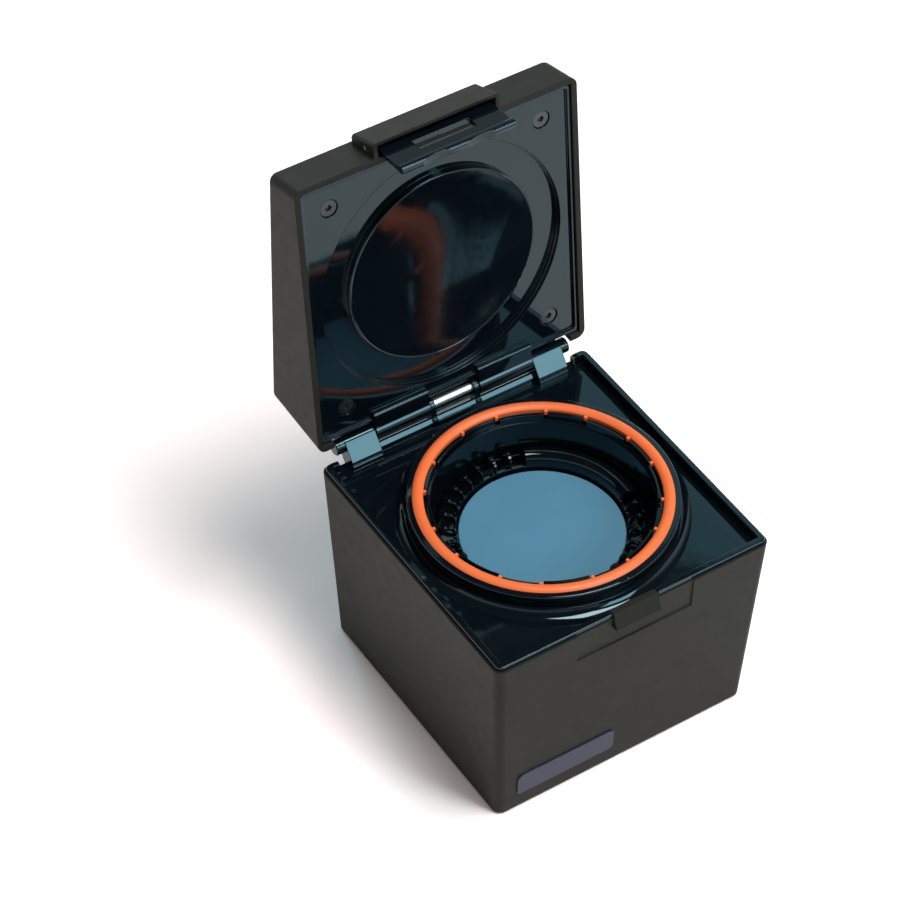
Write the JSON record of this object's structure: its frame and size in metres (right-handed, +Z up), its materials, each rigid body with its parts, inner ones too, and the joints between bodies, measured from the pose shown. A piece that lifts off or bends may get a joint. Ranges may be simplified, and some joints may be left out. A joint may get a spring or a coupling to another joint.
{
  "type": "hearing aid dryer",
  "caption": "Square tabletop box with a round, gasket-sealed, heated drying chamber under a hinged wedge-shaped lid held by a sprung latch flap.",
  "frame": {"origin": "middle of the underside of the non-slip pad that the base stands on", "axes": "+Z up, the latch side faces -Y, the hinge is at the back towards +Y, and +X is to the right seen from the latch side; the lid is stored open on its stop"},
  "size_m": [0.1, 0.1314, 0.1839],
  "materials": {
    "matte_shell": "fine satin texture",
    "gloss_black": "polished",
    "seal_orange": "satin",
    "mat_slate": "soft matt",
    "foot_rubber": "matt",
    "bright_steel": "bright",
    "black_screw": "black oxide",
    "spring_steel": "plain",
    "plate_blue": "polished",
    "heater_metal": "plain",
    "film_amber": "film",
    "pad_foam": "foam",
    "board_green": "solder mask",
    "pump_grey": "moulded",
    "hose_rubber": "matt"
  },
  "bodies": {
    "base": {"base_shell": "matte_shell", "bottom_cover": "matte_shell", "non_slip_pad": "foot_rubber", "base_screws": "black_screw", "name_plate": "plate_blue", "top_deck": "gloss_black", "latch_strike": "matte_shell", "hinge_pin": "bright_steel", "hinge_caps": "gloss_black", "chamber_collar": "gloss_black", "gasket_ring": "seal_orange", "snap_ring": "gloss_black", "drying_cup": "gloss_black", "vent_ring": "gloss_black", "platform_mat": "mat_slate", "heater_plate": "heater_metal", "heater_film": "film_amber", "insulation_pad": "pad_foam", "temperature_sensor": "bright_steel", "humidity_sensor": "pump_grey", "pump_head": "pump_grey", "pump_motor": "bright_steel", "suction_hose": "hose_rubber", "circuit_board": "board_green", "board_screws": "bright_steel", "power_inlet": "pump_grey"},
    "lid": {"lid_shell": "matte_shell", "lid_plate": "gloss_black", "lid_screws": "black_screw", "latch_pin": "bright_steel", "latch_spring": "spring_steel"},
    "latch": {"latch_flap": "gloss_black"}
  },
  "joints": [
    {"name": "lid_hinge", "type": "hinge", "parent": "base", "child": "lid", "pos_m": [0, 0.0525, 0.0759], "axis": [1, 0, 0], "range_deg": [0, 96]},
    {"name": "latch_pivot", "type": "hinge", "parent": "lid", "child": "latch", "pos_m": [0, 0.06674, 0.17888], "axis": [-1, 0, 0], "range_deg": [0, 12], "stiffness_Nm_per_rad": 0.12, "deforming": ["latch_spring"]}
  ]
}
